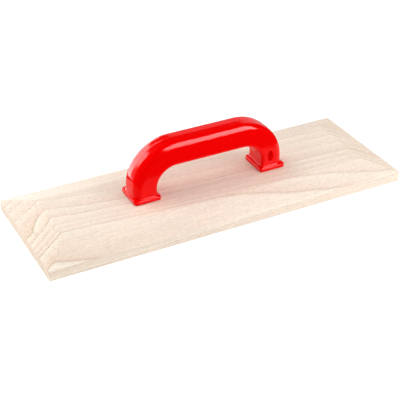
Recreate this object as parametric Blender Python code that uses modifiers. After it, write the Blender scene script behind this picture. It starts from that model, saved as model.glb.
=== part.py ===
"""Wooden hand float: a long board with bevelled top edges and a moulded bow handle, screwed on from below.

Frame: X along the board, Y across it, Z up. The origin is at the middle of the working face, the board's underside.
All values are in metres.
"""

import math

import bmesh
import bpy
from mathutils import Matrix

GAP = 0.0003  # left between pieces that touch

BOARD_LENGTH = 0.400
BOARD_WIDTH = 0.140
BOARD_THICKNESS = 0.020
BOARD_EDGE = 0.011  # thickness left at the rim, below the bevels
BOARD_BEVEL = 0.030  # width of each bevel, seen from above
BOARD_EASE = 0.0006  # sanded rounding of the sharp edges

LEG_CENTRE = 0.0733  # from the middle of the handle to the middle of a leg
BEND_RADIUS = 0.035  # of the handle's centre line
BEND_STEPS = 14
GRIP_HEIGHT = 0.066  # of the grip's centre line above the working face
SECTION_RISE = 0.0250  # thickness of the bow, from the palm side to the finger side
SECTION_DEPTH = 0.0295  # thickness of the bow from front to back
PALM_ROUND = 0.0080
FINGER_ROUND = 0.0032
MOULD_PEAK = 0.0004  # the two halves' draft leaves a faint ridge along the middle of the palm side

FOOT_CENTRE = 0.0726
FOOT_LENGTH = 0.0298
FOOT_DEPTH = 0.0350
FOOT_THICKNESS = 0.0042
FOOT_CORNER = 0.0032
FOOT_EASE = 0.0009

CORE_RADIUS = 0.0070  # the gas-blown hollow inside the bow
CORE_BOTTOM = 0.0285
RECESS_CENTRE = (0.0705, 0.036)  # X and Z of the oval gas-pin recess in the front of the right leg
RECESS_SIZE = (0.0066, 0.0130)
RECESS_SINK = 0.0050
PORT_RADIUS = 0.0014
PORT_HEIGHT = 0.0370

SCREW_LENGTH = 0.030
SCREW_RADIUS = 0.0020
SCREW_ROOT = 0.0014
SCREW_PITCH = 0.0018
SCREW_HEAD_RADIUS = 0.0040
SCREW_SINK = 0.0008  # how far the head lies above the working face
SCREW_THREAD = 0.018  # threaded length, up from the point
SLOT_DEPTH = 0.0016
SLOT_WIDTH = 0.0010
SLOT_SPAN = 0.0046
SCREW_LIP = 0.0002  # straight rim of the head, and how far the plain shank is under the thread
CLEARANCE = 0.0003
OVERCUT = 0.002  # how far a cutter runs past the face that it opens
MERGE = 0.00001  # points nearer than this become one

COLOURS = {
    "wood": ((0.82, 0.62, 0.44, 1.0), 0.62, 0.0),
    "red_plastic": ((0.80, 0.004, 0.004, 1.0), 0.16, 0.0),
    "zinc_steel": ((0.72, 0.72, 0.70, 1.0), 0.32, 1.0),
}


def make_materials():
    """A Principled BSDF for each entry of COLOURS."""
    made = {}
    for name, (colour, roughness, metallic) in COLOURS.items():
        material = bpy.data.materials.new(name)
        material.use_nodes = True
        shader = material.node_tree.nodes["Principled BSDF"]
        shader.inputs["Base Color"].default_value = colour
        shader.inputs["Roughness"].default_value = roughness
        shader.inputs["Metallic"].default_value = metallic
        material.diffuse_color = colour
        made[name] = material
    return made


def add_object(name, mesh, collection, material=None):
    obj = bpy.data.objects.new(name, mesh)
    collection.objects.link(obj)
    if material:
        mesh.materials.append(material)
    return obj


def as_cutter(obj):
    obj.hide_render = True
    obj.display_type = "WIRE"
    return obj


def mesh_from(name, bm):
    mesh = bpy.data.meshes.new(name)
    bm.to_mesh(mesh)
    bm.free()
    return mesh


def join(obj, other, operation):
    """A Boolean modifier on obj, with another object as its operand."""
    boolean = obj.modifiers.new(f"{operation.lower()} {other.name}", "BOOLEAN")
    boolean.operation = operation
    boolean.object = other


def rounded_slab(name, size, corner, ease, collection):
    """A box with rounded upright edges and an eased top rim. It stands on its own origin."""
    bm = bmesh.new()
    bmesh.ops.create_cube(bm, size=1.0, matrix=Matrix.Diagonal((*size, 1.0)))
    bmesh.ops.translate(bm, verts=bm.verts, vec=(0, 0, size[2] / 2))
    upright = [e for e in bm.edges if abs(e.verts[0].co.z - e.verts[1].co.z) > ease]
    bmesh.ops.bevel(bm, geom=upright, offset=corner, segments=4, profile=0.5, affect="EDGES")
    top_rim = [e for e in bm.edges if all(v.co.z > size[2] - ease for v in e.verts)]
    bmesh.ops.bevel(bm, geom=top_rim, offset=ease, segments=2, profile=0.5, affect="EDGES")
    return add_object(name, mesh_from(name, bm), collection)


def rod(name, radii, length, place, collection, sides=24, matrix=None):
    """A cylinder or cone from radii[0] to radii[1] along +Z, or along the given turn, from place."""
    bm = bmesh.new()
    bmesh.ops.create_cone(bm, cap_ends=True, segments=sides, radius1=radii[0], radius2=radii[1], depth=length)
    bmesh.ops.translate(bm, verts=bm.verts, vec=(0, 0, length / 2))
    if matrix:
        bmesh.ops.transform(bm, matrix=matrix, verts=bm.verts)
    obj = add_object(name, mesh_from(name, bm), collection)
    obj.location = place
    return obj


def turned(name, profile, collection, material=None, sides=24):
    """A profile of (radius, height) points, from the top down, turned about Z by a Screw modifier."""
    bm = bmesh.new()
    verts = [bm.verts.new((radius, 0.0, height)) for radius, height in profile]
    for upper, lower in zip(verts, verts[1:]):
        bm.edges.new((upper, lower))
    obj = add_object(name, mesh_from(name, bm), collection, material)
    lathe = obj.modifiers.new("lathe", "SCREW")
    lathe.steps = lathe.render_steps = sides
    lathe.use_merge_vertices = True
    lathe.merge_threshold = MERGE
    lathe.use_smooth_shade = False
    return obj


def bow_path(name, bottom, collection):
    """A curve up one leg, over the grip and down the other, drawn flat in X and Y and then stood upright."""
    centre_x = LEG_CENTRE - BEND_RADIUS
    centre_y = GRIP_HEIGHT - BEND_RADIUS
    right_bend = []
    for step in range(BEND_STEPS + 1):
        angle = math.pi / 2 * (1 - step / BEND_STEPS)
        x = centre_x + BEND_RADIUS * math.cos(angle)
        y = centre_y + BEND_RADIUS * math.sin(angle)
        right_bend.append((x, y))
    right = [*right_bend, (LEG_CENTRE, bottom)]
    left = [(-x, y) for x, y in reversed(right)]
    points = left + right
    curve = bpy.data.curves.new(name, "CURVE")
    curve.dimensions = "2D"
    spline = curve.splines.new("POLY")
    spline.points.add(len(points) - 1)
    for point, (x, y) in zip(spline.points, points):
        point.co = (x, y, 0, 1)
    obj = bpy.data.objects.new(name, curve)
    collection.objects.link(obj)
    obj.rotation_euler.x = math.pi / 2
    return obj


def bow_section(collection):
    """The bow's section as a closed outline: local X runs from palm side to finger side, local Y along the depth."""
    outline = []
    half_rise, half_depth = SECTION_RISE / 2, SECTION_DEPTH / 2
    corners = (
        (1, 1, FINGER_ROUND, 0),
        (-1, 1, PALM_ROUND, 90),
        (-1, -1, PALM_ROUND, 180),
        (1, -1, FINGER_ROUND, 270),
    )
    for side_x, side_y, radius, start in corners:
        steps = 6 if radius == PALM_ROUND else 4
        for step in range(steps + 1):
            angle = math.radians(start + 90 * step / steps)
            x = side_x * (half_rise - radius) + radius * math.cos(angle)
            y = side_y * (half_depth - radius) + radius * math.sin(angle)
            outline.append((x, y))
        if (side_x, side_y) == (-1, 1):
            outline.append((-half_rise - MOULD_PEAK, 0.0))
    curve = bpy.data.curves.new("bow section", "CURVE")
    curve.dimensions = "2D"
    spline = curve.splines.new("POLY")
    spline.points.add(len(outline) - 1)
    for point, (x, y) in zip(spline.points, outline):
        point.co = (x, y, 0, 1)
    spline.use_cyclic_u = True
    obj = as_cutter(bpy.data.objects.new("bow section", curve))
    collection.objects.link(obj)
    return obj


def mesh_of_curve(obj, name, collection, material=None):
    """Replaces a curve object with the tube that it draws, made a mesh and closed at both ends."""
    bpy.context.view_layer.update()
    graph = bpy.context.evaluated_depsgraph_get()
    mesh = bpy.data.meshes.new_from_object(obj.evaluated_get(graph))
    bm = bmesh.new()
    bm.from_mesh(mesh)
    bmesh.ops.remove_doubles(bm, verts=bm.verts, dist=MERGE)
    bmesh.ops.holes_fill(bm, edges=bm.edges)
    bmesh.ops.recalc_face_normals(bm, faces=bm.faces)
    bm.to_mesh(mesh)
    bm.free()
    mesh.materials.clear()
    made = add_object(name, mesh, collection, material)
    made.matrix_world = obj.matrix_world
    bpy.data.objects.remove(obj)
    return made


def screw_hole(side, collection):
    """The cutter for one clearance hole through the board, with its countersink open at the working face."""
    x = side * LEG_CENTRE
    shank = SCREW_RADIUS + CLEARANCE
    mouth = SCREW_HEAD_RADIUS + CLEARANCE
    top = BOARD_THICKNESS + OVERCUT
    cone_top = SCREW_SINK + mouth - shank
    profile = [(0, top), (shank, top), (shank, cone_top), (mouth, SCREW_SINK), (mouth, -OVERCUT), (0, -OVERCUT)]
    hole = as_cutter(turned(f"screw hole {x:+.4f}", profile, collection, sides=32))
    hole.location.x = x
    return hole


def make_board(parts, cutters, material):
    """One solid board: a slab whose top is inset and raised, which leaves a bevel along all four sides."""
    bm = bmesh.new()
    bmesh.ops.create_cube(bm, size=1.0, matrix=Matrix.Diagonal((BOARD_LENGTH, BOARD_WIDTH, BOARD_EDGE, 1.0)))
    bmesh.ops.translate(bm, verts=bm.verts, vec=(0, 0, BOARD_EDGE / 2))
    top = [face for face in bm.faces if face.normal.z > 0.5]
    bmesh.ops.inset_region(bm, faces=top, thickness=BOARD_BEVEL, depth=0, use_even_offset=True)
    bmesh.ops.translate(bm, verts=top[0].verts, vec=(0, 0, BOARD_THICKNESS - BOARD_EDGE))
    board = add_object("board", mesh_from("board", bm), parts, material)
    ease = board.modifiers.new("eased edges", "BEVEL")
    ease.width = BOARD_EASE
    ease.segments = 2
    ease.limit_method = "ANGLE"
    ease.angle_limit = math.radians(40)
    for side in (-1, 1):
        join(board, screw_hole(side, cutters), "DIFFERENCE")
    return board


def make_handle(parts, cutters, material):
    """The moulded handle: a bow on two foot flanges, hollow inside, with its gas-pin recess and pilot holes."""
    base = BOARD_THICKNESS + GAP
    section = bow_section(cutters)
    path = bow_path("bow path", base + FOOT_THICKNESS / 2, cutters)
    path.data.bevel_mode = "OBJECT"
    path.data.bevel_object = section
    handle = mesh_of_curve(path, "handle", parts, material)

    for side in (-1, 1):
        foot_size = (FOOT_LENGTH, FOOT_DEPTH, FOOT_THICKNESS)
        foot = as_cutter(rounded_slab(f"foot {side:+d}", foot_size, FOOT_CORNER, FOOT_EASE, cutters))
        foot.location = (side * FOOT_CENTRE, 0, base)
        join(handle, foot, "UNION")

    core = bow_path("core path", CORE_BOTTOM, cutters)
    core.data.bevel_depth = CORE_RADIUS
    core.data.bevel_resolution = 4
    core = as_cutter(mesh_of_curve(core, "gas core", cutters))

    front = -SECTION_DEPTH / 2
    toward_back = Matrix.Rotation(math.radians(-90), 4, "X")
    stretch = Matrix.Diagonal((RECESS_SIZE[0] / 2, 1, RECESS_SIZE[1] / 2, 1))
    recess_place = (RECESS_CENTRE[0], front - RECESS_SINK, RECESS_CENTRE[1])
    recess = as_cutter(
        rod("gas recess", (1, 1), 2 * RECESS_SINK, recess_place, cutters, sides=32, matrix=stretch @ toward_back)
    )
    join(core, recess, "UNION")
    port_place = (RECESS_CENTRE[0], front, PORT_HEIGHT)
    port = as_cutter(
        rod("gas port", (PORT_RADIUS, PORT_RADIUS), -front, port_place, cutters, sides=16, matrix=toward_back)
    )
    join(core, port, "UNION")
    join(handle, core, "DIFFERENCE")

    for side in (-1, 1):
        tip = SCREW_SINK + SCREW_LENGTH + CLEARANCE
        pilot_radius = SCREW_RADIUS + CLEARANCE
        place = (side * LEG_CENTRE, 0, base - OVERCUT)
        pilot = as_cutter(
            rod(f"pilot {side:+d}", (pilot_radius, pilot_radius), tip - base + OVERCUT, place, cutters, sides=16)
        )
        join(handle, pilot, "DIFFERENCE")
    handle.data.shade_smooth()
    handle.data.set_sharp_from_angle(angle=math.radians(30))
    return handle


def make_screw(name, side, parts, cutters, material):
    """A countersunk wood screw, head down, with a plain shank, thread ridges and a cross drive in its head."""
    cone = SCREW_HEAD_RADIUS - SCREW_RADIUS
    profile = [(0.0, SCREW_LENGTH), (SCREW_ROOT, SCREW_LENGTH - 2 * SCREW_ROOT)]
    ridges = round((SCREW_THREAD - 2 * SCREW_ROOT) / SCREW_PITCH)
    for ridge in range(ridges):
        crest = SCREW_LENGTH - 2 * SCREW_ROOT - SCREW_PITCH * (ridge + 0.5)
        profile.append((SCREW_RADIUS, crest))
        profile.append((SCREW_ROOT, crest - SCREW_PITCH / 2))
    shank = SCREW_RADIUS - SCREW_LIP
    profile += [(shank, profile[-1][1] - 2 * SCREW_LIP), (shank, cone)]
    profile += [(SCREW_HEAD_RADIUS, SCREW_LIP), (SCREW_HEAD_RADIUS, 0.0), (0.0, 0.0)]
    screw = turned(name, profile, parts, material, sides=24)
    screw.location = (side * LEG_CENTRE, 0, SCREW_SINK)
    for turn in (0, 90):
        bm = bmesh.new()
        size = (SLOT_SPAN, SLOT_WIDTH, 2 * SLOT_DEPTH)
        bmesh.ops.create_cube(bm, size=1.0, matrix=Matrix.Diagonal((*size, 1.0)))
        blade = as_cutter(add_object(f"{name} drive {turn}", mesh_from("drive", bm), cutters))
        blade.location = (side * LEG_CENTRE, 0, SCREW_SINK)
        blade.rotation_euler.z = math.radians(45 + turn)
        join(screw, blade, "DIFFERENCE")
    return screw


def main():
    for old in list(bpy.data.objects):
        bpy.data.objects.remove(old)
    parts = bpy.data.collections.new("hand float")
    cutters = bpy.data.collections.new("cutters")
    bpy.context.scene.collection.children.link(parts)
    bpy.context.scene.collection.children.link(cutters)
    materials = make_materials()
    make_board(parts, cutters, materials["wood"])
    make_handle(parts, cutters, materials["red_plastic"])
    make_screw("screw_left", -1, parts, cutters, materials["zinc_steel"])
    make_screw("screw_right", 1, parts, cutters, materials["zinc_steel"])


main()
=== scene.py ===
"""Wooden hand float: the finished surfaces of its board, its moulded handle and its two screws."""

import math

import bpy
import numpy as np
from mathutils import Matrix, Vector


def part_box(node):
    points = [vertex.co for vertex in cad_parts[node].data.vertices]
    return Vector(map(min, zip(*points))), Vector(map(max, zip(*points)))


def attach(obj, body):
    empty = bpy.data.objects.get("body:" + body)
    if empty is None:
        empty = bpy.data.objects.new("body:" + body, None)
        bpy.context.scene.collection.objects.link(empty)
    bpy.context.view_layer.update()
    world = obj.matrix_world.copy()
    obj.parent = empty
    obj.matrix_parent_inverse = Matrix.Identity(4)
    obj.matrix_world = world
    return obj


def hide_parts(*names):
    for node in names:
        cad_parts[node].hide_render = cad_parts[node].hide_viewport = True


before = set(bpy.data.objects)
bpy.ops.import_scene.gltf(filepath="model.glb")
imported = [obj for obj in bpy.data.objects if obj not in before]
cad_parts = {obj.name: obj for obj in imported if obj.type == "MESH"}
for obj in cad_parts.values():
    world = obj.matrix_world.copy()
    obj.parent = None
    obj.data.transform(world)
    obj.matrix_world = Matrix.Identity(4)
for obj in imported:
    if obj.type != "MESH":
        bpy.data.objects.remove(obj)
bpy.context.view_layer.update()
bpy.context.scene.unit_settings.system = "METRIC"

# ------------------------------------------------------------------------------------------------------------
# The board: one plank of pale, fast-grown paulownia, sawn, planed and belt-sanded. All four top sides are cut
# to a shallow bevel that leaves a thinner rim, and two countersunk holes come up through it from below.
# ------------------------------------------------------------------------------------------------------------
board_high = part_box("board")[1]
BEVEL_WIDTH = 0.030
RIM_HEIGHT = 0.011
RIM_EASE = 0.0006  # radius that sanding leaves on the rim's edges
SHOULDER_EASE = 0.0011  # half-width of the soft line where a bevel meets the flat top
CORNER_EASE = 0.0009  # radius of the rim's corners, seen from above
EASE_STEPS = 4  # steps round each eased edge
EASE_SHARE = 0.04  # of the bevel's width, from either end to the first point inside it
SHARP = 35  # degrees between faces that makes an edge crisp
LEVEL = 0.5  # degrees from level within which a face counts as planed flat
screw_low, screw_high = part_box("screw_left")
SCREW_X = abs(screw_low.x + screw_high.x) / 2
SCREW_CLEARANCE = 0.0003
SHANK_RADIUS = 0.0020
HEAD_RADIUS = (screw_high.x - screw_low.x) / 2
SHANK_HOLE = SHANK_RADIUS + SCREW_CLEARANCE
HEAD_HOLE = HEAD_RADIUS + SCREW_CLEARANCE
HOLE_SIDES = 48
CUT_PAST = 0.002  # how far a cutter starts outside the face that it enters


def make_piece(name, rings, clockwise=False):
    """A closed mesh object from rings of points, each with the same count, in an array of (ring, point, xyz).

    Quads join each ring to the next, and the first and last rings are capped. The rings turn anticlockwise as
    seen from beyond the last one. Where they turn clockwise, each face is reversed, so that it faces outward.
    """
    ring_count, ring_size = rings.shape[:2]
    ring, here = np.meshgrid(np.arange(ring_count - 1) * ring_size, np.arange(ring_size), indexing="ij")
    beside = (here + 1) % ring_size
    following = ring + ring_size
    quads = np.stack([ring + here, ring + beside, following + beside, following + here], axis=-1)
    last = (ring_count - 1) * ring_size
    faces = quads.reshape(-1, 4).tolist()
    faces += [list(range(ring_size))[::-1], list(range(last, last + ring_size))]
    if clockwise:
        faces = [face[::-1] for face in faces]
    mesh = bpy.data.meshes.new(name)
    mesh.from_pydata(rings.reshape(-1, 3).tolist(), [], faces)
    mesh.validate()
    mesh.shade_smooth()
    mesh.set_sharp_from_angle(angle=math.radians(SHARP))
    piece = bpy.data.objects.new(name, mesh)
    bpy.context.scene.collection.objects.link(piece)
    return piece


def arc(start, end, steps):
    """Angles in radians from start to end in degrees, ends included."""
    return np.radians(np.linspace(start, end, steps + 1))


def rounded_rectangle(half_x, half_y, radius, steps):
    """Anticlockwise outline: a quarter circle of the radius about each corner, and straight sides between."""
    turns = np.concatenate([arc(90 * quarter, 90 * quarter + 90, steps) for quarter in range(4)])
    side_x = np.repeat([1, -1, -1, 1], steps + 1)
    side_y = np.repeat([1, 1, -1, -1], steps + 1)
    x = side_x * (half_x - radius) + radius * np.cos(turns)
    y = side_y * (half_y - radius) + radius * np.sin(turns)
    return np.stack([x, y], axis=-1)


def board_profile():
    """Inset from the rim and height, from the underside out, up the rim, up the bevel and in over the top.

    The rim's two edges are arcs of RIM_EASE. The shoulder is a parabola that has the bevel's slope at one end
    and is level at the other. One point near each end of the bevel, and one near the rim on the underside,
    keep the shading between them flat.
    """
    top = board_high.z
    rise = (top - RIM_HEIGHT) / BEVEL_WIDTH
    slope = math.degrees(math.atan2(top - RIM_HEIGHT, BEVEL_WIDTH))
    foot = arc(270, 180, EASE_STEPS)
    lower = RIM_EASE + RIM_EASE * np.stack([np.cos(foot), np.sin(foot)], axis=-1)
    brow = arc(180, 90 + slope, EASE_STEPS)
    brow_centre = RIM_HEIGHT - RIM_EASE * math.tan(math.radians(45 - slope / 2))
    upper = np.stack([RIM_EASE + RIM_EASE * np.cos(brow), brow_centre + RIM_EASE * np.sin(brow)], axis=-1)
    along = np.linspace(-1, 1, 2 * EASE_STEPS + 1)
    shoulder_inset = BEVEL_WIDTH + SHOULDER_EASE * along
    shoulder_height = top - rise * SHOULDER_EASE * (1 - along) ** 2 / 4
    shoulder = np.stack([shoulder_inset, shoulder_height], axis=-1)
    bevel = upper[-1] + (shoulder[0] - upper[-1]) * np.array([[EASE_SHARE], [1 - EASE_SHARE]])
    inner = BEVEL_WIDTH + 2 * SHOULDER_EASE
    underside = [[inner, 0.0], [3 * RIM_EASE, 0.0]]
    return np.concatenate([underside, lower, upper, bevel, shoulder, [[inner, top]]])


def board_rings():
    """The profile carried round the board: each of its points is a rounded rectangle, inset from the rim."""
    rings = []
    for inset, height in board_profile():
        radius = max(CORNER_EASE - inset, CORNER_EASE / 4)
        outline = rounded_rectangle(board_high.x - inset, board_high.y - inset, radius, EASE_STEPS)
        rings.append(np.column_stack([outline, np.full(len(outline), height)]))
    return np.stack(rings)


def turned_rings(profile, sides):
    """A profile of radius and height, turned about Z: x is radius times cosine and y is radius times sine."""
    profile = np.asarray(profile)
    turn = 2 * np.pi * np.arange(sides) / sides
    radius, height = profile[:, :1], profile[:, 1:]
    return np.stack([radius * np.cos(turn), radius * np.sin(turn), np.repeat(height, sides, axis=1)], axis=-1)


def cut_away(piece, cutter):
    """Takes the cutter out of the piece for good and removes the cutter."""
    cut = piece.modifiers.new("cut", "BOOLEAN")
    cut.operation = "DIFFERENCE"
    cut.object = cutter
    graph = bpy.context.evaluated_depsgraph_get()
    mesh = bpy.data.meshes.new_from_object(piece.evaluated_get(graph))
    piece.modifiers.remove(cut)
    piece.data = mesh
    mesh.set_sharp_from_angle(angle=math.radians(SHARP))
    bpy.data.objects.remove(cutter)


def drill(piece, profile):
    """Takes a hole of this profile out of the piece at each screw."""
    for side in (-1, 1):
        rings = turned_rings(profile, HOLE_SIDES)
        rings[..., 0] += side * SCREW_X
        cut_away(piece, make_piece("drill", rings))


board = make_piece("board_planed", board_rings())
countersink = [
    (HEAD_HOLE, -CUT_PAST),
    (HEAD_HOLE, screw_low.z),
    (SHANK_HOLE, screw_low.z + HEAD_HOLE - SHANK_HOLE),
    (SHANK_HOLE, board_high.z + CUT_PAST),
]
drill(board, countersink)

# The top and the working face are planed flat, so they are shaded flat, and only the rest is shaded smooth.
facets = board.data.polygons
normals = np.empty(len(facets) * 3)
facets.foreach_get("normal", normals)
facets.foreach_set("use_smooth", np.abs(normals[2::3]) < math.cos(math.radians(LEVEL)))


def linear(hex_colour):
    """An sRGB hex colour as opaque linear RGBA."""
    channels = [int(hex_colour[place : place + 2], 16) / 255 for place in (1, 3, 5)]
    return (*[c / 12.92 if c <= 0.04045 else ((c + 0.055) / 1.055) ** 2.4 for c in channels], 1.0)


def blank_material(name):
    """A material with an empty node tree."""
    material = bpy.data.materials.new(name)
    material.use_nodes = True
    material.node_tree.nodes.clear()
    return material


def add_node(tree, kind, inputs=None, **settings):
    """Adds a node with its settings. Each input is a value for that socket, or an output to link to it."""
    node = tree.nodes.new(kind)
    for name, value in settings.items():
        setattr(node, name, value)
    for name, value in (inputs or {}).items():
        if isinstance(value, bpy.types.NodeSocket):
            tree.links.new(value, node.inputs[name])
        else:
            node.inputs[name].default_value = value
    return node


def set_stops(ramp_node, stops):
    """Gives a Color Ramp these (position, colour) stops."""
    elements = ramp_node.color_ramp.elements
    while len(elements) > 1:
        elements.remove(elements[-1])
    elements[0].position, elements[0].color = stops[0]
    for position, colour in stops[1:]:
        elements.new(position).color = colour


# The year rings cross this plank as almost flat sheets, for it was cut far out from the pith. They lean up
# and back, drift to the front over the plank's length, and sweep back at its left end. Each ring here is its
# place across the top at the middle of the plank, in mm, and how strongly it shows.
RINGS = (
    (-60.5, 1.0),
    (-39.5, 0.9),
    (-33.0, 0.6),
    (-24.0, 0.5),
    (-14.0, 0.7),
    (-4.0, 0.9),
    (15.0, 0.45),
    (33.0, 0.4),
    (45.5, 0.5),
    (58.0, 0.5),
)
RING_SPAN = 90.0  # mm that the rings' colours reach to either side of the middle
RING_LEAN = 2.3  # mm that a sheet goes back for each mm up
RING_DRIFT = 0.075  # mm to the front for each mm to the right
SWEEP_REACH = 79.4  # mm along the plank over which the sweep adds the first mm
SWEEP_EDGES = (-5, 15)  # mm across the plank, from no sweep to all of it
LINE_WIDTH = 0.8  # mm from a ring's dark line to the palest wood before it and the browner wood after it
MIDWOOD = "#DECEBE"
EARLYWOOD = "#E3D9CA"
LATEWOOD = "#D7C0AC"
RING_LINE = "#B6947B"
END_GRAIN = "#FDF3E4"
PORE = "#98775E"
FACE_FADE = 0.40  # how far the rings fade where the surface lies along the grain
END_SLOPES = (0.08, 0.26)  # a surface's tilt to the grain, as a sine, where end grain starts and is complete
END_STAIN = 0.15  # how strongly end grain takes its own colour

# Sizes of the figure in mm: along, across and through the plank.
WAVER_SIZE = (80, 30, 30)
WAVER_SHIFT = (0, 2.6, 1.2)
STREAK_SIZE = (60, 1.9, 1.9)
FIBRE_SIZE = (4, 1, 1)
CLOUD_SIZE = (90, 30, 30)
PORE_SIZE = (9, 1.2, 1.2)
PORE_EDGES = (0.30, 0.12)  # of that size, from a pore's faint rim to its dark middle
PORE_DEPTHS = (0.30, 0.75)  # how dark a pore is along the face, and on end grain


def ring_stops():
    """Colour stops across the rings: at each, pale early wood, the line, then late wood that fades again."""
    middle = np.array(linear(MIDWOOD))
    stops = [(0.0, tuple(middle))]
    for place, strength in RINGS:
        for offset, colour in ((-LINE_WIDTH, EARLYWOOD), (0.0, RING_LINE), (LINE_WIDTH, LATEWOOD)):
            share = (place + offset + RING_SPAN) / (2 * RING_SPAN)
            stops.append((share, tuple(middle + strength * (np.array(linear(colour)) - middle))))
    return [*stops, (1.0, tuple(middle))]


def paulownia():
    """Paulownia, planed and sanded, unfinished: soft pale rings, and long pores that are dashes on the face
    and dots on the end grain, which soaks up light and so looks yellower. It is matt with a slight sheen."""
    material = blank_material("paulownia sanded")
    tree = material.node_tree

    def node(kind, inputs, output=0, **settings):
        return add_node(tree, kind, inputs, **settings).outputs[output]

    def maths(operation, *values):
        return node("ShaderNodeMath", dict(enumerate(values)), operation=operation)

    def sized(vector, size):
        factors = tuple(1 / length for length in size)
        return node("ShaderNodeVectorMath", {0: vector, 1: factors}, operation="MULTIPLY")

    def noise(vector, size, output=0, **inputs):
        return node("ShaderNodeTexNoise", {"Vector": sized(vector, size), "Scale": 1.0, **inputs}, output)

    def remap(value, start, end, low, high, ease="LINEAR"):
        limits = {"Value": value, "From Min": start, "From Max": end, "To Min": low, "To Max": high}
        return node("ShaderNodeMapRange", limits, interpolation_type=ease)

    def over_noise(texture, low, high):
        return remap(texture, 0.3, 0.7, low, high)  # the stretch that most of a noise lies in

    def shaded(colour, texture, darkest, brightest):
        brightness = over_noise(texture, darkest, brightest)
        return node("ShaderNodeVectorMath", {0: colour, "Scale": brightness}, operation="SCALE")

    def mixed(share, colour, other, blend="MIX"):
        inputs = {0: share, 6: colour, 7: linear(other)}  # 6 and 7 are the inputs for colours
        return node("ShaderNodeMix", inputs, 2, data_type="RGBA", blend_type=blend)

    place = node("ShaderNodeTexCoord", {}, "Object")
    mm = node("ShaderNodeVectorMath", {0: place, 1: (1000, 1000, 1000)}, operation="MULTIPLY")

    # A slow waver of about 1 mm, longer along the grain than across it.
    waver = noise(mm, WAVER_SIZE, "Color")
    centred = node("ShaderNodeVectorMath", {0: waver, 1: (0.5, 0.5, 0.5)}, operation="SUBTRACT")
    grain = node("ShaderNodeVectorMath", {0: centred, 1: WAVER_SHIFT, 2: mm}, operation="MULTIPLY_ADD")

    # Place across the rings, in mm at the middle of the plank's top. The sweep is the cube of the way left.
    x, y, z = add_node(tree, "ShaderNodeSeparateXYZ", {0: grain}).outputs
    level = maths("ADD", y, RING_LEAN * board_high.z * 1000)
    leant = maths("MULTIPLY_ADD", z, -RING_LEAN, level)
    drifted = maths("MULTIPLY_ADD", x, RING_DRIFT, leant)
    leftward = maths("MULTIPLY", maths("MINIMUM", x, 0.0), 1 / SWEEP_REACH)
    sweep = maths("MULTIPLY", maths("POWER", leftward, 3.0), remap(y, *SWEEP_EDGES, 0, 1))
    share = remap(maths("ADD", drifted, sweep), -RING_SPAN, RING_SPAN, 0, 1)
    rings = add_node(tree, "ShaderNodeValToRGB", {0: share})
    set_stops(rings, ring_stops())

    # How much the surface cuts across the grain: not at all on the face, and fully on an end bevel.
    facing = node("ShaderNodeTexCoord", {}, "Normal")
    lengthways = add_node(tree, "ShaderNodeSeparateXYZ", {0: facing}).outputs["X"]
    end_grain = remap(maths("ABSOLUTE", lengthways), *END_SLOPES, 0, 1, ease="SMOOTHSTEP")
    bands = mixed(remap(end_grain, 0, 1, FACE_FADE, 0), rings.outputs[0], MIDWOOD)

    # Soft streaks about 2 mm wide that run on for a hand's breadth, and fibres. Real fibres are about 0.03 mm
    # wide, drawn here at 1 mm so that they show.
    streaks = noise(grain, STREAK_SIZE, Detail=4.0, Roughness=0.6)
    fibres = noise(grain, FIBRE_SIZE, Detail=3.0, Roughness=0.7)
    clouds = noise(mm, CLOUD_SIZE, Detail=1.0)
    colour = shaded(bands, streaks, 0.945, 1.05)
    colour = shaded(colour, fibres, 0.885, 1.105)
    colour = shaded(colour, clouds, 0.97, 1.03)
    colour = mixed(maths("MULTIPLY", end_grain, END_STAIN), colour, END_GRAIN, blend="MULTIPLY")

    # Pores: long open vessels, drawn as dashes up to 0.7 mm wide and 5 mm long, twice as wide as real ones.
    pores = node("ShaderNodeTexVoronoi", {"Vector": sized(grain, PORE_SIZE), "Scale": 1.0})
    pore = remap(pores, *PORE_EDGES, 0, 1)
    pore_depth = maths("MULTIPLY", pore, remap(end_grain, 0, 1, *PORE_DEPTHS))
    colour = mixed(pore_depth, colour, PORE)

    # Relief: the pores are pits, and the soft fibres are sanded a little lower.
    relief = maths("MULTIPLY_ADD", pore, -0.6, fibres)
    surface = {
        "Base Color": colour,
        "Roughness": over_noise(fibres, 0.68, 0.56),
        "Specular IOR Level": 0.25,
        "Normal": node("ShaderNodeBump", {"Height": relief, "Distance": 0.00012, "Strength": 0.6}),
    }
    add_node(tree, "ShaderNodeOutputMaterial", {"Surface": node("ShaderNodeBsdfPrincipled", surface)})
    return material


board.data.materials.clear()
board.data.materials.append(paulownia())
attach(board, "root")
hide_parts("board")

# ------------------------------------------------------------------------------------------------------------
# The handle: one bow of glossy red polypropylene, from a mould whose halves part along its middle, and hollow
# inside. It stands on two foot flanges, and an oval recess in its right leg's front holds the gas pin's mark.
# ------------------------------------------------------------------------------------------------------------
handle_low, handle_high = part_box("handle")
LEG_CENTRE = SCREW_X
BEND_RADIUS = 0.035
GRIP_HEIGHT = 0.066
HALF_RISE = 0.0125  # half the section, from the finger side to the palm side
HALF_DEPTH = 0.01475  # half the section, front to back
PALM_ROUND = 0.0080
FINGER_ROUND = 0.0032
FLASH_HEIGHT = 0.00010  # the fine witness line where the mould halves met
FLASH_HALF_WIDTH = 0.0004
MOULD_PEAK = handle_high.z - GRIP_HEIGHT - HALF_RISE - FLASH_HEIGHT
PEAK_INSET = 0.3  # of the palm side's rounding, next to the front or rear, that is outside the rise
FOOT_CENTRE = 0.0726
FOOT_HALF_LENGTH = handle_high.x - FOOT_CENTRE
FOOT_HALF_DEPTH = handle_high.y
FOOT_CORNER = 0.0032
FOOT_THICKNESS = 0.0042
FOOT_EASE = 0.0009
FILLET_HEIGHT = 0.0009
LEDGE_SHARE = 0.35  # of the way from the flange's edge to the leg that is level, before the fillet
RECESS_CENTRE = (0.0705, 0.036)
RECESS_HALF = (0.0033, 0.0065)
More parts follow.
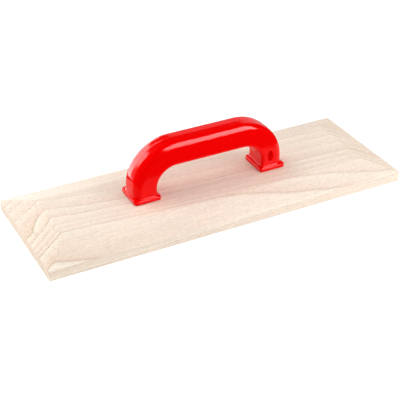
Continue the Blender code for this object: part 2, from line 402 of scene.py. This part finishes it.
RECESS_SINK = 0.0050
RECESS_LIP = 0.0013
PORT_RADIUS = 0.0014
PORT_HEIGHT = 0.0370
PORT_SINK = 0.0025
PORT_SLOPE = 0.4  # of the gas pin's mark, from its edge in to its full depth
SINK_REACH = FINGER_ROUND * 0.5  # how far behind the front face the skin still sinks
FLAT_COLUMNS = 14  # points inside the section's palm side, and inside its finger side
REAR_COLUMNS = 12
FRONT_COLUMNS = 44  # enough to draw the recess
ROUND_STEPS = 12
FOOT_STEPS = (3, 5, 6)  # round a foot's bottom edge, its top edge and its fillet
LEG_STEP = 0.00035  # between rings up a leg
FINE_BEND = (24, 0.6)  # degrees of each bend, from the leg, that the recess needs in fine steps, and the step
BEND_RINGS = 40  # in the rest of the bend
GRIP_STEPS = 29


def section():
    """The bow's outline across its path, as (out to the palm side, front to back).

    Four quarter circles joined by straight sides. The palm side rises evenly to a peak in the middle, and the
    narrow flash has five points of its own there.
    """
    corners = (
        (1, -1, PALM_ROUND, -90),
        (1, 1, PALM_ROUND, 0),
        (-1, 1, FINGER_ROUND, 90),
        (-1, -1, FINGER_ROUND, 180),
    )
    rounds = []
    for out_side, depth_side, radius, start in corners:
        turn = arc(start, start + 90, ROUND_STEPS)
        out = out_side * (HALF_RISE - radius) + radius * np.cos(turn)
        depth = depth_side * (HALF_DEPTH - radius) + radius * np.sin(turn)
        rounds.append(np.stack([out, depth], axis=-1))
    counts = (FLAT_COLUMNS, REAR_COLUMNS, FLAT_COLUMNS, FRONT_COLUMNS)
    palm, rear, finger, front = [np.linspace(0, 1, count + 2)[1:-1] for count in counts]
    flash_share = FLASH_HALF_WIDTH / (2 * (HALF_DEPTH - PALM_ROUND))
    palm = np.sort(np.concatenate([palm, 0.5 + flash_share * np.linspace(-1, 1, 5)]))
    outline = []
    for here, following, share in zip(rounds, rounds[1:] + rounds[:1], (palm, rear, finger, front)):
        outline += [here, here[-1] + (following[0] - here[-1]) * share[:, None]]
    outline = np.concatenate(outline)
    from_middle = np.abs(outline[:, 1])
    rise = np.clip(1 - from_middle / (HALF_DEPTH - PALM_ROUND * PEAK_INSET), 0, 1)
    flash = np.clip(1 - from_middle / FLASH_HALF_WIDTH, 0, 1)
    outline[:, 0] += (outline[:, 0] > 0) * (MOULD_PEAK * rise + FLASH_HEIGHT * flash)
    return outline


def foot_outline(outset, leg):
    """The foot flange's outline, matched point for point to the leg's section by direction from the centre.

    A point is pushed out to the rectangle's edge, then drawn in to the corner's round where it is past one.
    """
    half = np.array([FOOT_HALF_LENGTH, FOOT_HALF_DEPTH]) + outset
    corner = FOOT_CORNER + outset
    nearly_zero = 1e-9  # keeps the divisions sound
    bearing = leg / np.array([HALF_RISE, HALF_DEPTH]) * half
    reach = np.max(np.abs(bearing) / half, axis=1, keepdims=True)
    on_edge = bearing / np.maximum(reach, nearly_zero)
    core = np.clip(on_edge, -(half - corner), half - corner)
    away = on_edge - core
    length = np.linalg.norm(away, axis=1, keepdims=True)
    return core + away / np.maximum(length, nearly_zero) * corner


def foot_rings(leg):
    """Outlines and heights up one foot: eased bottom edge, eased top edge, ledge and fillet into the leg."""
    base = handle_low.z
    top = base + FOOT_THICKNESS
    bottom_steps, top_steps, fillet_steps = FOOT_STEPS
    rings = []
    for turn in arc(-90, 0, bottom_steps):
        ease = FOOT_EASE / 2
        rings.append((foot_outline(ease * (math.cos(turn) - 1), leg), base + ease * (1 + math.sin(turn))))
    for turn in arc(0, 90, top_steps):
        outline = foot_outline(FOOT_EASE * (math.cos(turn) - 1), leg)
        rings.append((outline, top - FOOT_EASE * (1 - math.sin(turn))))
    ledge = foot_outline(-FOOT_EASE, leg)
    shift = np.array([FOOT_CENTRE - LEG_CENTRE, 0.0])
    for turn in arc(0, 90, fillet_steps)[1:]:
        share = LEDGE_SHARE + (1 - LEDGE_SHARE) * math.sin(turn)
        height = top + FILLET_HEIGHT * (1 - math.cos(turn))
        rings.append(((ledge + shift) * (1 - share) + leg * share - shift, height))
    return [(outline + shift, height) for outline, height in rings]


def bow_path(first_height):
    """Places along the bow and the direction of the palm side at each, both as (x, z).

    The path goes up the left leg from just above first_height, over the grip and down the right leg.
    """
    shoulder = GRIP_HEIGHT - BEND_RADIUS
    inner = LEG_CENTRE - BEND_RADIUS
    legs = np.arange(first_height + LEG_STEP, shoulder, LEG_STEP)
    fine_end, fine_step = FINE_BEND
    fine = np.arange(0, fine_end, fine_step)
    turn = np.radians(np.concatenate([fine, np.linspace(fine_end, 90, BEND_RINGS)]))
    bend_out = np.stack([np.cos(turn), np.sin(turn)], axis=-1)
    bend = np.array([inner, shoulder]) + BEND_RADIUS * bend_out
    leg = np.stack([np.full(len(legs), LEG_CENTRE), legs], axis=-1)
    leg_out = np.tile([1.0, 0.0], (len(legs), 1))
    grip_x = np.linspace(-inner, inner, GRIP_STEPS + 1)[1:-1]
    grip = np.stack([grip_x, np.full(len(grip_x), GRIP_HEIGHT)], axis=-1)
    grip_out = np.tile([0.0, 1.0], (len(grip_x), 1))
    rising = np.concatenate([leg, bend])
    rising_out = np.concatenate([leg_out, bend_out])
    mirror = np.array([-1.0, 1.0])
    path = np.concatenate([rising * mirror, grip, rising[::-1]])
    outward = np.concatenate([rising_out * mirror, grip_out, rising_out[::-1]])
    return path, outward


def sink_recess(points):
    """Pushes the front face back inside an oval by a smooth step, and once more at the gas pin's mark."""
    from_centre = points[..., 0] - RECESS_CENTRE[0]
    oval = np.hypot(from_centre / RECESS_HALF[0], (points[..., 2] - RECESS_CENTRE[1]) / RECESS_HALF[1])
    lip = RECESS_LIP / RECESS_HALF[0]
    rise = np.clip((1 - oval) / lip, 0, 1)
    sunk = RECESS_SINK * rise * rise * (3 - 2 * rise)
    from_port = np.hypot(from_centre, points[..., 2] - PORT_HEIGHT)
    port = np.clip((PORT_RADIUS - from_port) / (PORT_RADIUS * PORT_SLOPE), 0, 1)
    front = points[..., 1] < -HALF_DEPTH + SINK_REACH
    points[..., 1] += front * (sunk + PORT_SINK * port)
    return points


def bow_rings():
    """The whole skin of the handle: a foot's rings, the section carried along the bow, and a foot's rings."""
    leg = section()
    rings = foot_rings(leg)
    path, outward = bow_path(rings[-1][1])
    right_foot = np.stack(
        [
            np.column_stack([LEG_CENTRE + outline[:, 0], outline[:, 1], np.full(len(outline), height)])
            for outline, height in rings
        ]
    )
    left_foot = right_foot * np.array([-1.0, 1.0, 1.0])
    bow = np.empty((len(path), len(leg), 3))
    bow[..., 0] = path[:, None, 0] + outward[:, None, 0] * leg[None, :, 0]
    bow[..., 1] = leg[None, :, 1]
    bow[..., 2] = path[:, None, 1] + outward[:, None, 1] * leg[None, :, 0]
    return sink_recess(np.concatenate([left_foot, bow, right_foot[::-1]]))


handle = make_piece("handle_moulded", bow_rings(), clockwise=True)
# A screw's pilot hole comes up into each foot and ends in the cone that the drill leaves.
pilot_end = screw_high.z + SCREW_CLEARANCE
pilot_hole = [
    (SHANK_HOLE, handle_low.z - CUT_PAST),
    (SHANK_HOLE, pilot_end - SHANK_HOLE),
    (SHANK_HOLE / 20, pilot_end),
]
drill(handle, pilot_hole)

RED = "#E10000"
GLOSS_TINT = "#FF5C5C"  # of what is seen straight on in the gloss, while the gloss at a slant stays white


def polypropylene():
    """Polypropylene moulded in a polished tool: an even strong red with a wet gloss, over the very faint
    waviness that a thick moulding takes as it cools."""
    material = blank_material("red polypropylene")
    tree = material.node_tree
    place = add_node(tree, "ShaderNodeTexCoord").outputs["Object"]
    waves = add_node(tree, "ShaderNodeTexNoise", {"Vector": place, "Scale": 90.0, "Detail": 1.0}).outputs[0]
    sag = add_node(tree, "ShaderNodeBump", {"Height": waves, "Distance": 0.0002, "Strength": 0.25}).outputs[0]
    surface = {
        "Base Color": linear(RED),
        "Roughness": 0.11,
        "Specular Tint": linear(GLOSS_TINT),
        "IOR": 1.49,
        "Normal": sag,
    }
    shader = add_node(tree, "ShaderNodeBsdfPrincipled", surface)
    add_node(tree, "ShaderNodeOutputMaterial", {"Surface": shader.outputs[0]})
    return material


handle.data.materials.append(polypropylene())
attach(handle, "root")
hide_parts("handle")

# ------------------------------------------------------------------------------------------------------------
# The screws: two zinc-plated steel wood screws with rolled threads, countersunk heads and a cross recess.
# Each is driven up from the working face, through the board and into a foot of the handle.
# ------------------------------------------------------------------------------------------------------------
THREAD_LENGTH = 0.018
THREAD_PITCH = 0.0018
THREAD_ROOT = 0.0014
THREAD_WIDTH = 0.45  # of the pitch, across the foot of the ridge
THREAD_ROWS = 18  # rings of points to a pitch
POINT_LENGTH = 0.0045
POINT_TIP = 0.02  # of the full radius, where the point ends
POINT_BULGE = 0.8  # power of the way from the tip, which makes the point's sides bulge
HEAD_LIP = 0.0002
SCREW_SIDES = 48
CROSS_DEPTH = 0.0016
CROSS_MOUTH = (0.0023, 0.0005)  # half the span and half the width of the recess at the head's face
CROSS_FLOOR = (0.0013, 0.0004)
CROSS_TURN = 45


def screw_rings(side):
    """The screw's skin: level rings of points round its axis, from the face of the head up to the point.

    In the thread the radius goes from root to crest and back by how far z / pitch - turn / (2 pi) is past a
    whole number. The ridge grows in over its first turn, and it and the core narrow together to the point.
    """
    base, tip = screw_low.z, screw_high.z
    thread_start = tip - THREAD_LENGTH
    plain = np.array(
        [
            (HEAD_RADIUS - HEAD_LIP / 2, base),
            (HEAD_RADIUS, base + HEAD_LIP / 2),
            (HEAD_RADIUS, base + HEAD_LIP),
            (SHANK_RADIUS, base + HEAD_LIP + HEAD_RADIUS - SHANK_RADIUS),
            (SHANK_RADIUS, thread_start - THREAD_PITCH / 2),
        ]
    )
    threaded = np.arange(thread_start, tip, THREAD_PITCH / THREAD_ROWS)
    height = np.concatenate([plain[:, 1], threaded, [tip]])[:, None]
    turn = 2 * np.pi * np.arange(SCREW_SIDES)[None, :] / SCREW_SIDES
    past = (height / THREAD_PITCH - turn / (2 * np.pi)) % 1.0
    ridge = np.clip(1 - np.abs(2 * past - 1) / THREAD_WIDTH, 0, 1)
    grown = np.clip((height - thread_start) / THREAD_PITCH, 0, 1)
    narrow = np.clip((tip - height) / POINT_LENGTH, POINT_TIP, 1) ** POINT_BULGE
    radius = (THREAD_ROOT + (SHANK_RADIUS - THREAD_ROOT) * ridge * grown) * narrow
    radius[: len(plain)] = plain[:, :1]
    x = side * SCREW_X + radius * np.cos(turn)
    return np.stack([x, radius * np.sin(turn), np.broadcast_to(height, radius.shape)], axis=-1)


def turned(outline, degrees):
    """The outline turned anticlockwise about the origin."""
    turn = math.radians(degrees)
    return outline @ np.array([[math.cos(turn), math.sin(turn)], [-math.sin(turn), math.cos(turn)]])


def cross_rings(side):
    """The recess as a cutter: a slanting cross that narrows from below the head's face up to the floor.

    Each quarter of the cross is the end of an arm, the inner corner and the start of the next arm.
    """
    rings = []
    for (span, width), height in ((CROSS_MOUTH, -CUT_PAST), (CROSS_MOUTH, 0.0), (CROSS_FLOOR, CROSS_DEPTH)):
        quarter = np.array([(span, width), (width, width), (width, span)])
        outline = np.concatenate([turned(quarter, CROSS_TURN + 90 * arm) for arm in range(4)])
        outline[:, 0] += side * SCREW_X
        rings.append(np.column_stack([outline, np.full(len(outline), screw_low.z + height)]))
    return np.stack(rings)


def zinc_plate():
    """Bright zinc on steel: a cool silver gloss that clouds in places, with a trace of the blue and yellow
    that the passivating bath leaves."""
    material = blank_material("zinc plate")
    tree = material.node_tree
    place = add_node(tree, "ShaderNodeTexCoord").outputs["Object"]
    bath = add_node(tree, "ShaderNodeTexNoise", {"Vector": place, "Scale": 300.0, "Detail": 2.0}).outputs[0]
    grit = add_node(tree, "ShaderNodeTexNoise", {"Vector": place, "Scale": 2500.0, "Detail": 3.0}).outputs[0]
    tint = add_node(tree, "ShaderNodeValToRGB", {0: bath})
    set_stops(tint, [(0.35, linear("#B9C3D0")), (0.5, linear("#CDD0D3")), (0.65, linear("#D8D2BF"))])
    dull = add_node(tree, "ShaderNodeMapRange", {"Value": grit, "To Min": 0.16, "To Max": 0.46}).outputs[0]
    skin = add_node(tree, "ShaderNodeBump", {"Height": grit, "Distance": 0.00003, "Strength": 0.4}).outputs[0]
    surface = {"Base Color": tint.outputs[0], "Metallic": 1.0, "Roughness": dull, "Normal": skin}
    shader = add_node(tree, "ShaderNodeBsdfPrincipled", surface)
    add_node(tree, "ShaderNodeOutputMaterial", {"Surface": shader.outputs[0]})
    return material


zinc = zinc_plate()
for side, name in ((-1, "left"), (1, "right")):
    screw = make_piece(f"screw_zinc_{name}", screw_rings(side))
    cut_away(screw, make_piece("cross_recess", cross_rings(side)))
    screw.data.materials.append(zinc)
    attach(screw, "root")
    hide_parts(f"screw_{name}")

# ------------------------------------------------------------------------------------------------------------
# The setting: a table of white paper in a white tent. A broad panel behind, a dim backdrop beside it and a
# softbox in front on the right make the gloss. Three fills light the matt wood, and a glow from below shows
# the screws' heads.
# ------------------------------------------------------------------------------------------------------------
TABLE_REACH = 6.0
TABLE_DROP = 0.0001  # the gap that keeps the paper off the working face


def white_paper():
    """Matt white paper that glows a little with the tent's light. From below it is clear, so that the working
    face can be seen."""
    material = blank_material("white paper")
    tree = material.node_tree
    surface = {
        "Base Color": (0.80, 0.80, 0.80, 1),
        "Roughness": 0.9,
        "Specular IOR Level": 0.1,
        "Emission Color": (1, 1, 1, 1),
        "Emission Strength": 0.35,
    }
    paper = add_node(tree, "ShaderNodeBsdfPrincipled", surface).outputs[0]
    below = add_node(tree, "ShaderNodeNewGeometry").outputs["Backfacing"]
    clear = add_node(tree, "ShaderNodeBsdfTransparent").outputs[0]
    seen = add_node(tree, "ShaderNodeMixShader", {0: below, 1: paper, 2: clear}).outputs[0]
    add_node(tree, "ShaderNodeOutputMaterial", {"Surface": seen})
    return material


corners = ((-1, -1), (1, -1), (1, 1), (-1, 1))
table_corners = [(x * TABLE_REACH, y * TABLE_REACH, -TABLE_DROP) for x, y in corners]
table_mesh = bpy.data.meshes.new("floor")
table_mesh.from_pydata(table_corners, [], [(0, 1, 2, 3)])
table_mesh.materials.append(white_paper())
floor = bpy.data.objects.new("floor", table_mesh)
bpy.context.scene.collection.objects.link(floor)
floor.visible_glossy = False
floor.visible_shadow = False

LIT_POINT = Vector((0.0, 0.0, 0.06))


def direction(azimuth, elevation):
    """The unit vector at azimuth degrees round to the right of straight behind and elevation degrees up."""
    turn, lift = math.radians(azimuth), math.radians(elevation)
    return Vector((math.sin(turn) * math.cos(lift), math.cos(turn) * math.cos(lift), math.sin(lift)))


def soft_light(name, azimuth, elevation, distance, size, radiance, seen_in_gloss):
    """A rectangular area light at this azimuth, elevation and distance from the handle, and facing it.

    A light that is seen in gloss adds nothing to matt surfaces, and one that isn't lights only them.
    """
    lamp = bpy.data.lights.new(name, "AREA")
    lamp.shape = "RECTANGLE"
    lamp.size, lamp.size_y = size
    lamp.energy = radiance * math.pi * size[0] * size[1]
    light = bpy.data.objects.new(name, lamp)
    bpy.context.scene.collection.objects.link(light)
    away = direction(azimuth, elevation)
    light.location = LIT_POINT + away * distance
    light.rotation_euler = away.to_track_quat("Z", "Y").to_euler()
    light.visible_glossy = seen_in_gloss
    light.visible_diffuse = not seen_in_gloss


soft_light("panel_behind", -16, 8, 1.6, (1.50, 1.45), 7.2, seen_in_gloss=True)
soft_light("backdrop", 36, 5, 1.6, (1.50, 1.40), 0.6, seen_in_gloss=True)
soft_light("softbox_front", 148, 43, 1.2, (1.05, 1.05), 40.0, seen_in_gloss=True)
soft_light("overhead_fill", -48, 54, 0.8, (0.40, 0.40), 4.3, seen_in_gloss=False)
soft_light("front_fill", 132, 28, 0.8, (0.60, 0.60), 2.3, seen_in_gloss=False)
soft_light("left_fill", -82, 12, 1.2, (1.00, 1.00), 1.35, seen_in_gloss=False)
soft_light("glow_below", 0, -90, 0.7, (1.30, 1.30), 0.6, seen_in_gloss=True)

world = bpy.data.worlds.new("tent")
bpy.context.scene.world = world
world.use_nodes = True
world.node_tree.nodes["Background"].inputs["Color"].default_value = (1.0, 1.0, 1.0, 1.0)
world.node_tree.nodes["Background"].inputs["Strength"].default_value = 0.78
world.cycles_visibility.glossy = False
bpy.context.scene.view_settings.view_transform = "Standard"

# The camera: a long lens that looks down from the front left.
SENSOR = 36.0
LENS = 97.33
CAMERA_AZIMUTH = 207.80
CAMERA_ELEVATION = 32.19
CAMERA_ROLL = 0.35
CAMERA_DISTANCE = 1.1313
CAMERA_AIM = Vector((-0.0089, -0.0072, 0.0))
backward = direction(CAMERA_AZIMUTH, CAMERA_ELEVATION)
camera = bpy.data.objects.new("camera", bpy.data.cameras.new("camera"))
camera.data.sensor_width = SENSOR
camera.data.lens = LENS
camera.data.clip_end = 50.0
facing = backward.to_track_quat("Z", "Y").to_matrix().to_4x4()
roll = Matrix.Rotation(math.radians(CAMERA_ROLL), 4, "Z")
camera.matrix_world = Matrix.Translation(CAMERA_AIM + backward * CAMERA_DISTANCE) @ facing @ roll
bpy.context.scene.collection.objects.link(camera)
bpy.context.scene.camera = camera
